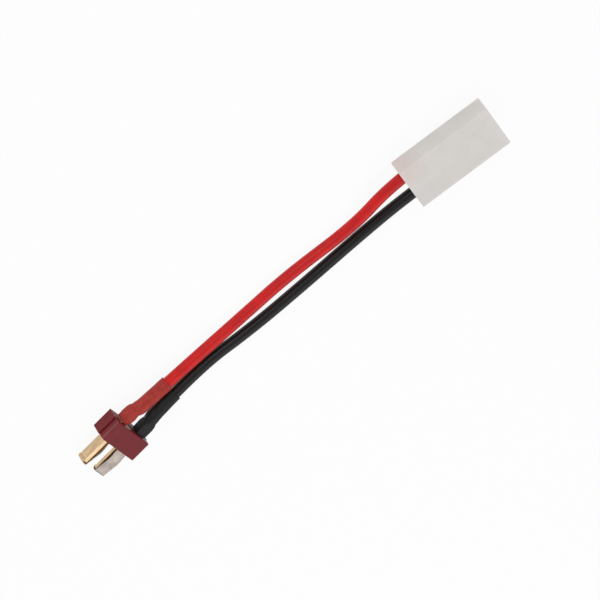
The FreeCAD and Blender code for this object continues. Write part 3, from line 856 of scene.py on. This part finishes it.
class CABLE_OT_contacts(bpy.types.Operator):
    """Add the gold blades and their spring leaves"""
    bl_idname = "cable.contacts"
    bl_label = "Blades and Spring Leaves"

    def execute(self, context):
        edge = context.scene.cable_sizes.metal_edge
        gold = gold_flash(context.scene.cable_colours.gold)
        strip = spring_strip(context.scene.cable_colours.gold)
        # Painted shade on each leaf's side that faces its blade, so that the gap between them shows
        # dark in the blade
        underside_shade = {
            "positive": painted_leaf_shade("positive", (0.36, 0.24, 0.14), (0.55, 0.40, 0.27)),
            "negative": painted_leaf_shade("negative", (0.28, 0.11, 0.03), (0.42, 0.18, 0.06)),
        }
        for pole, leaf_body in LEAF_OF.items():
            blade = softened(pole + "_blade", edge * 1.6, gold)
            seat(blade, CABLE, "gold_plate", pole + "_blade")
            leaf = softened(pole + "_spring_leaf", edge, strip,
                            reshape=lambda shape: self.ease(shape, SEATS[pole]))
            leaf.data.materials.append(underside_shade[pole])
            self.mark(leaf, SEATS[pole].inverted())
            seat(leaf, leaf_body, "spring_metal", pole + "_spring_leaf")
        return {"FINISHED"}

    @staticmethod
    def ease(shape, seat_of):
        """Gives a leaf its long, shallow bow and presses its hook on to the blade."""
        to_flat = seat_of.inverted()
        along = seat_of.to_3x3() @ Vector((1, 0, 0))
        for step in range(LEAF_CUTS):
            bmesh.ops.bisect_plane(
                shape, geom=shape.verts[:] + shape.edges[:] + shape.faces[:], plane_no=along,
                plane_co=seat_of @ (Vector((LEAF_CUT_X + step * LEAF_CUT_STEP, 0, 0)) * MM))
        for vertex in shape.verts:
            flat = to_flat @ vertex.co / MM
            run = EASE_TO_TIP if flat.x > LEAF_CREST_X else EASE_TO_BLOCK
            reach = (flat.x - LEAF_CREST_X) / run
            if flat.z > 0:
                flat.z -= LEAF_EASE * max(0.0, 1 - reach * reach)
            elif flat.z < -BLADE_HALF:
                flat.z = -BLADE_HALF + (flat.z + BLADE_HALF) * HOOK_GAP_SHARE
            vertex.co = seat_of @ (flat * MM)

    @staticmethod
    def mark(leaf, to_flat):
        """Marks where a leaf folds round the blade's tip, and its side that faces the blade, which
        takes painted shade.
        """
        fold = leaf.data.attributes.new("fold", "FLOAT", "POINT")
        for vertex, value in zip(leaf.data.vertices, fold.data):
            height = (to_flat @ vertex.co).z / MM
            value.value = min(1.0, max(0.0, (FOLD_TOP - height) / FOLD_FADE))
        turn = to_flat.to_3x3()
        for face in leaf.data.polygons:
            centre = to_flat @ face.center / MM
            facing = (turn @ face.normal).z
            # Faces turned to the blade take the painted shade
            face.material_index = int(
                facing < -0.5 and centre.z > UNDERSIDE_LOW and centre.x < UNDERSIDE_END_X)


class CABLE_OT_joints(bpy.types.Operator):
    """Add the solder and the bare strands at both ends of each lead"""
    bl_idname = "cable.joints"
    bl_label = "Strands and Solder"

    def execute(self, context):
        sizes = context.scene.cable_sizes
        tree = strand_tree()
        strands = bright_metal("tinned_strands", (0.50, 0.44, 0.38), (0.72, 0.67, 0.60), 0.28, 1.5)
        solder = bright_metal("solder", (0.55, 0.55, 0.56), (0.78, 0.78, 0.79), 0.16, 0.8)
        for pole, colour in COLOUR_OF.items():
            joint = softened(pole + "_solder_joint", 0.03 * MM, solder)
            seat(joint, CABLE, "solder", pole + "_solder_joint")
            across, up = STRIP_OFFSET[pole]
            ends = {
                colour + "_strands_at_plug": [
                    SEATS[pole] @ (Vector(point) * MM)
                    for point in (
                        (-STRANDS_START[pole], 0, STRANDS_UP), (-4.5, 0, STRANDS_UP),
                        (-5.3, across * 0.3, 1.4), (-STRIP_BACK, across, up))],
                colour + "_strands_in_crimp": [
                    Vector(TERMINAL_END[pole]) * MM + Vector((x * MM, 0, 0))
                    for x in (0.0, -2.0, -4.0, -5.0)],
            }
            for node, points in ends.items():
                path = polyline(node + "_path", points)
                piece = self.bundle(node, sizes.strand_diameter)
                nodes_modifier(piece, tree, {
                    "Path": path, "Diameter": sizes.strand_diameter, "Material": strands})
                mesh = path.data
                bpy.data.objects.remove(path)
                bpy.data.meshes.remove(mesh)
                seat(piece, CABLE, "tinned_copper", node)
        return {"FINISHED"}

    @staticmethod
    def bundle(node, pitch):
        """One point for each strand, packed in three rings round one."""
        points = [Vector((0, 0, 0))]
        for ring in (1, 2, 3):
            for step in range(6 * ring):
                angle = math.tau * step / (6 * ring)
                points.append(
                    Vector((math.cos(angle), math.sin(angle), 0)) * ring * pitch * STRAND_PACKING)
        mesh = bpy.data.meshes.new(node + "_bundle")
        mesh.from_pydata(points, [], [])
        return link(node + "_bundle", mesh)


class CABLE_OT_receptacle(bpy.types.Operator):
    """Add the receptacle's housing"""
    bl_idname = "cable.receptacle"
    bl_label = "Receptacle Housing"

    def execute(self, context):
        edge = context.scene.cable_sizes.moulded_edge
        skin = natural_nylon(context.scene.cable_colours.natural)
        piece = softened("receptacle_housing", edge * 2.0, skin)
        seat(piece, CABLE, "natural_nylon", "receptacle_housing")
        return {"FINISHED"}


class CABLE_OT_terminals(bpy.types.Operator):
    """Add the rolled pin terminals"""
    bl_idname = "cable.terminals"
    bl_label = "Pin Terminals"

    def execute(self, context):
        edge = context.scene.cable_sizes.metal_edge
        tin = bright_metal("bright_tin", (0.58, 0.57, 0.55), (0.74, 0.73, 0.71), 0.2, 0.7)
        for pole in COLOUR_OF:
            piece = softened(pole + "_terminal", edge * 0.6, tin)
            seat(piece, CABLE, "tin_plate", pole + "_terminal")
        return {"FINISHED"}


class CABLE_OT_stage(bpy.types.Operator):
    """Add the floor, the studio light and the camera"""
    bl_idname = "cable.stage"
    bl_label = "Stage"

    def execute(self, context):
        def plane(shape):
            bmesh.ops.create_grid(shape, x_segments=1, y_segments=1, size=1.5)

        floor = solid("floor", plane)
        floor.location.z = -FLOOR_DROP * MM
        dress(floor, studio_floor())
        self.lamps(context)
        self.camera(context)
        context.scene.view_settings.view_transform = "Standard"
        return {"FINISHED"}

    def lamps(self, context):
        """An even white world and three round lamps."""
        world = bpy.data.worlds.new("studio")
        world.use_nodes = True
        world.node_tree.nodes["Background"].inputs["Color"].default_value = (1, 1, 1, 1)
        world.node_tree.nodes["Background"].inputs["Strength"].default_value = 0.55
        context.scene.world = world
        # Name, place, target, width, power
        for name, place, target, width, power in (
            ("key", (0.06, 0.44, 0.60), (0, 0, 0), 0.9, 1.95),
            ("fill", (-0.15, -0.80, 0.50), (0, 0, 0), 0.5, 2.0),
            ("end", (0.75, -0.20, 0.30), (0.06, 0.01, 0), 0.3, 0.5),
        ):
            lamp = bpy.data.lights.new(name, "AREA")
            lamp.shape = "DISK"
            lamp.size = width
            lamp.energy = power
            made = link(name, lamp)
            made.location = place
            direction = Vector(target) - Vector(place)
            made.rotation_euler = direction.to_track_quat("-Z", "Y").to_euler()

    def camera(self, context):
        """The camera, from its lift over the table, its roll and its turn."""
        data = bpy.data.cameras.new("camera")
        data.sensor_width = SENSOR_WIDTH
        data.lens = SENSOR_WIDTH * FOCAL_PIXELS / PICTURE_PIXELS
        data.clip_start = 0.05
        data.clip_end = 10
        camera = link("camera", data)
        level = Vector((1, 0, 0))
        rise = Vector((0, math.sin(CAMERA_LIFT), math.cos(CAMERA_LIFT)))
        back = Vector((0, -math.cos(CAMERA_LIFT), math.sin(CAMERA_LIFT)))
        right = level * math.cos(CAMERA_ROLL) + rise * math.sin(CAMERA_ROLL)
        up = rise * math.cos(CAMERA_ROLL) - level * math.sin(CAMERA_ROLL)
        turn = Matrix.Rotation(CAMERA_TURN, 3, "Z")
        axes = Matrix([turn @ right, turn @ up, turn @ back]).transposed()
        place = CAMERA_TARGET + (turn @ back) * CAMERA_DISTANCE
        camera.matrix_world = Matrix.Translation(place) @ axes.to_4x4()
        context.scene.camera = camera


class CABLE_PT_panel(bpy.types.Panel):
    """The cable's sizes, colours and pieces in the sidebar."""
    bl_label = "Battery Adapter Cable"
    bl_idname = "CABLE_PT_panel"
    bl_space_type = "VIEW_3D"
    bl_region_type = "UI"
    bl_category = "Cable"

    def draw(self, context):
        for group in (context.scene.cable_sizes, context.scene.cable_colours):
            box = self.layout.box()
            for name in group.bl_rna.properties.keys():
                if name not in ("rna_type", "name"):
                    box.prop(group, name)
        for operator in OPERATORS:
            self.layout.operator(operator.bl_idname)


OPERATORS = (
    CABLE_OT_leads, CABLE_OT_sleeves, CABLE_OT_plug_block, CABLE_OT_contacts, CABLE_OT_joints,
    CABLE_OT_receptacle, CABLE_OT_terminals, CABLE_OT_stage,
)
CLASSES = (CableSizes, CableColours, *OPERATORS, CABLE_PT_panel)


def register():
    for made in CLASSES:
        bpy.utils.register_class(made)
    bpy.types.Scene.cable_sizes = bpy.props.PointerProperty(type=CableSizes)
    bpy.types.Scene.cable_colours = bpy.props.PointerProperty(type=CableColours)


def unregister():
    del bpy.types.Scene.cable_colours
    del bpy.types.Scene.cable_sizes
    for made in reversed(CLASSES):
        bpy.utils.unregister_class(made)


def main():
    register()
    for operator in OPERATORS:
        group, name = operator.bl_idname.split(".")
        getattr(getattr(bpy.ops, group), name)()


if __name__ == "__main__":
    main()
